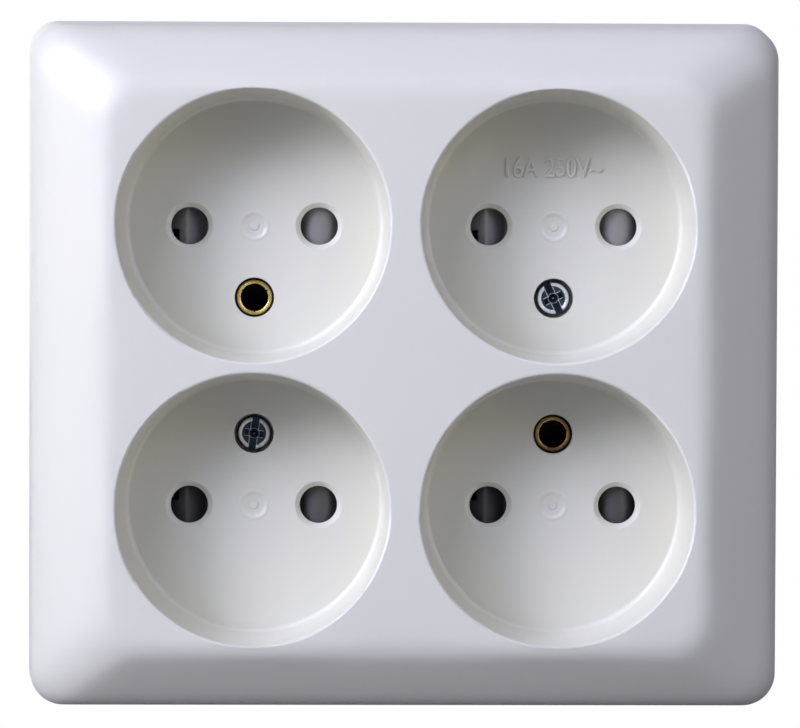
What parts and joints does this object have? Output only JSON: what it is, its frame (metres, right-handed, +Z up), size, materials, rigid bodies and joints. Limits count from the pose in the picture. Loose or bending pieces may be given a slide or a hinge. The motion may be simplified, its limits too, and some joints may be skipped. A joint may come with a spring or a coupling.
{
  "type": "surface-mounted socket outlet",
  "caption": "Bevelled white wall box with round plug recesses in a square grid, each with shuttered pin holes and a fixing hole; powers two-pin plugs.",
  "frame": {"origin": "centre of the rear face, in the wall plane", "axes": "+X to the right seen from the front, +Y into the wall, +Z up"},
  "size_m": [0.1132, 0.036, 0.1032],
  "materials": {
    "white_gloss": "gloss moulded thermoplastic",
    "base_plastic": "matt moulded thermoplastic",
    "deck_plastic": "matt moulded insulator",
    "shutter_plastic": "satin moulded thermoplastic",
    "spring_steel": "rolled strip",
    "brass": "stamped or turned brass",
    "zinc_steel": "zinc-plated steel"
  },
  "bodies": {
    "housing": {"base": "base_plastic", "contact_deck": "deck_plastic", "cover_screw_1": "zinc_steel", "cover_screw_2": "zinc_steel", "eyelet_1": "brass", "eyelet_2": "brass", "front_cover": "white_gloss", "line_bar": "brass", "line_clamp_1": "zinc_steel", "line_clamp_2": "zinc_steel", "line_screw_1": "zinc_steel", "line_screw_2": "zinc_steel", "neutral_bar": "brass", "neutral_clamp_1": "zinc_steel", "neutral_clamp_2": "zinc_steel", "neutral_screw_1": "zinc_steel", "neutral_screw_2": "zinc_steel", "screw_bush_1": "brass", "screw_bush_2": "brass", "shutter_spring_1": "spring_steel", "shutter_spring_2": "spring_steel", "shutter_spring_3": "spring_steel", "shutter_spring_4": "spring_steel"},
    "shutter_1": {"shutter_1": "shutter_plastic"},
    "shutter_2": {"shutter_2": "shutter_plastic"},
    "shutter_3": {"shutter_3": "shutter_plastic"},
    "shutter_4": {"shutter_4": "shutter_plastic"}
  },
  "joints": [
    {"name": "shutter_1_slide", "type": "slide", "parent": "housing", "child": "shutter_1", "axis": [-1, 0, 0], "range_m": [0, 0.0064], "stiffness_N_per_m": 150, "springref_m": -0.003, "deforming": ["shutter_spring_1"]},
    {"name": "shutter_2_slide", "type": "slide", "parent": "housing", "child": "shutter_2", "axis": [-1, 0, 0], "range_m": [0, 0.0064], "stiffness_N_per_m": 150, "springref_m": -0.003, "deforming": ["shutter_spring_2"]},
    {"name": "shutter_3_slide", "type": "slide", "parent": "housing", "child": "shutter_3", "axis": [-1, 0, 0], "range_m": [0, 0.0064], "stiffness_N_per_m": 150, "springref_m": -0.003, "deforming": ["shutter_spring_3"]},
    {"name": "shutter_4_slide", "type": "slide", "parent": "housing", "child": "shutter_4", "axis": [-1, 0, 0], "range_m": [0, 0.0064], "stiffness_N_per_m": 150, "springref_m": -0.003, "deforming": ["shutter_spring_4"]}
  ]
}
